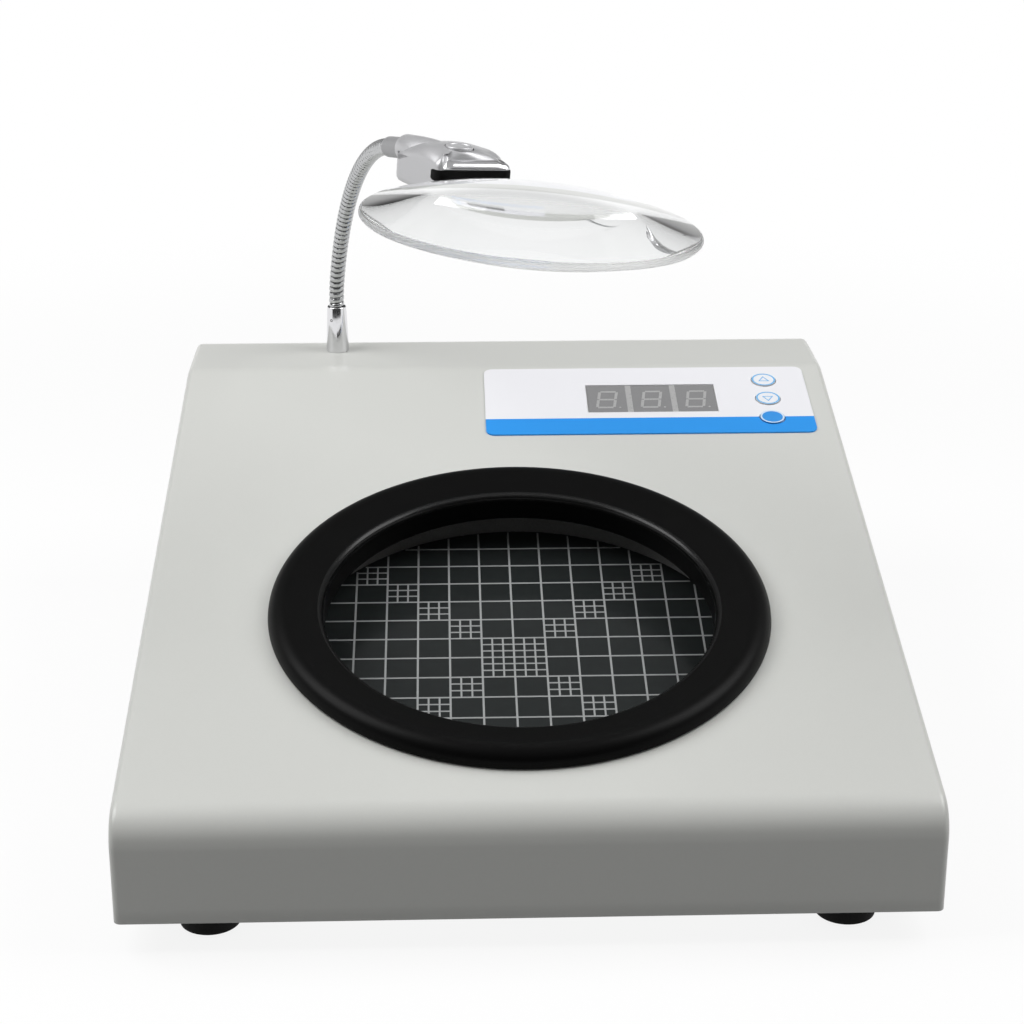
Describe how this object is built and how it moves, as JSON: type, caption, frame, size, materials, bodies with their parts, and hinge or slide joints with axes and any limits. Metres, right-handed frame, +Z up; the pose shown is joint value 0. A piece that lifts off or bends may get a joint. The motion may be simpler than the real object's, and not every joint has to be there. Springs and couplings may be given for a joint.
{
  "type": "digital colony counter",
  "caption": "Bench colony counter: sloped grey housing with a lit, gridded dish well in a black ring, a digital counter panel and a clear lens on a gooseneck.",
  "frame": {"origin": "centre of the overall box at bench level, under the feet", "axes": "+X to the right seen from the front, +Y from the front to the back, +Z up"},
  "size_m": [0.23, 0.2866, 0.1961],
  "materials": {
    "paint": "semi-gloss baked paint",
    "plate_steel": "zinc plated",
    "screw_steel": "zinc plated",
    "rubber_black": "matt",
    "ring_black": "satin",
    "well_black": "matt",
    "lamp_white": "solder mask",
    "lamp_lens": "clear",
    "plate_glass": "polished, etched grid",
    "background_black": "matt",
    "carrier_black": "black anodised",
    "switch_black": "moulded",
    "overlay_white": "printed film",
    "window_grey": "tinted",
    "digit_grey": "matt",
    "key_white": "printed film",
    "key_blue": "printed film",
    "board_green": "solder mask",
    "chrome": "polished",
    "neck_steel": "ribbed, satin chrome",
    "sleeve_grey": "shrunk sleeve",
    "silver_plastic": "metallic lacquer",
    "lens_clear": "clear acrylic",
    "fitting_black": "moulded",
    "pin_brass": "nickel plated",
    "core_steel": "varnished",
    "sink_aluminium": "plain",
    "post_nylon": "natural"
  },
  "bodies": {
    "base": {"housing": "paint", "base_plate": "plate_steel", "base_screws": "screw_steel", "feet": "rubber_black", "foot_screws": "screw_steel", "bezel_ring": "ring_black", "well_cup": "well_black", "cup_nuts": "screw_steel", "lamp_board": "lamp_white", "lamp_leds": "lamp_lens", "stage_springs": "screw_steel", "stage_switch": "switch_black", "overlay": "overlay_white", "display_window": "window_grey", "display_digits": "digit_grey", "control_board": "board_green", "tact_switches": "switch_black", "buzzer": "switch_black", "board_screws": "screw_steel", "neck_ferrule": "chrome", "neck_washer": "screw_steel", "neck_nut": "screw_steel", "power_inlet": "fitting_black", "inlet_pins": "pin_brass", "inlet_screws": "screw_steel", "rocker_frame": "fitting_black", "transformer": "core_steel", "transformer_screws": "screw_steel", "power_board": "board_green", "supply_parts": "sink_aluminium", "power_posts": "post_nylon"},
    "stage": {"grid_plate": "plate_glass", "background_disc": "background_black", "stage_carrier": "carrier_black", "stage_posts": "screw_steel"},
    "up_key": {"key_up": "key_white"},
    "down_key": {"key_down": "key_white"},
    "reset_key": {"key_reset": "key_blue"},
    "power_rocker": {"rocker": "fitting_black"},
    "lower_link": {"neck_lower": "neck_steel"},
    "middle_link": {"neck_middle": "neck_steel"},
    "upper_link": {"neck_upper": "neck_steel"},
    "head": {"head_sleeve": "sleeve_grey", "head_shell": "silver_plastic", "head_gasket": "rubber_black", "head_jaw": "silver_plastic", "jaw_screws": "screw_steel", "head_switch": "switch_black", "head_leds": "lamp_lens", "lens": "lens_clear"},
    "lamp_button": {"head_button": "silver_plastic"}
  },
  "joints": [
    {"name": "stage_press", "type": "slide", "parent": "base", "child": "stage", "axis": [0, 0.2221, -0.975], "range_m": [0, 0.0008], "stiffness_N_per_m": 3000, "springref_m": -0.0015, "deforming": ["stage_springs"]},
    {"name": "key_up_press", "type": "slide", "parent": "base", "child": "up_key", "axis": [0, 0.2221, -0.975], "range_m": [0, 0.0004], "stiffness_N_per_m": 1500, "springref_m": -0.0005},
    {"name": "key_down_press", "type": "slide", "parent": "base", "child": "down_key", "axis": [0, 0.2221, -0.975], "range_m": [0, 0.0004], "stiffness_N_per_m": 1500, "springref_m": -0.0005},
    {"name": "key_reset_press", "type": "slide", "parent": "base", "child": "reset_key", "axis": [0, 0.2221, -0.975], "range_m": [0, 0.0004], "stiffness_N_per_m": 1500, "springref_m": -0.0005},
    {"name": "rocker_tip", "type": "hinge", "parent": "base", "child": "power_rocker", "pos_m": [0.008, 0.13675, 0.0455], "axis": [1, 0, 0], "range_deg": [0, 20]},
    {"name": "neck_swing", "type": "hinge", "parent": "base", "child": "lower_link", "pos_m": [-0.0617, 0.12135, 0.09547], "axis": [0, 0, 1], "range_deg": [-30, 30]},
    {"name": "neck_lower_bend", "type": "hinge", "parent": "lower_link", "child": "middle_link", "pos_m": [-0.05667, 0.10437, 0.15092], "axis": [0.9588, 0.284, 0], "range_deg": [-15, 11]},
    {"name": "neck_upper_bend", "type": "hinge", "parent": "middle_link", "child": "upper_link", "pos_m": [-0.04722, 0.07245, 0.17757], "axis": [0.9588, 0.284, 0], "range_deg": [-15, 11]},
    {"name": "head_tilt", "type": "hinge", "parent": "upper_link", "child": "head", "pos_m": [-0.0394, 0.04607, 0.18641], "axis": [0.9588, 0.284, 0], "range_deg": [-15, 11]},
    {"name": "head_button_press", "type": "slide", "parent": "head", "child": "lamp_button", "axis": [-0.0872, 0, -0.9962], "range_m": [0, 0.0008], "stiffness_N_per_m": 800, "springref_m": -0.0008}
  ]
}
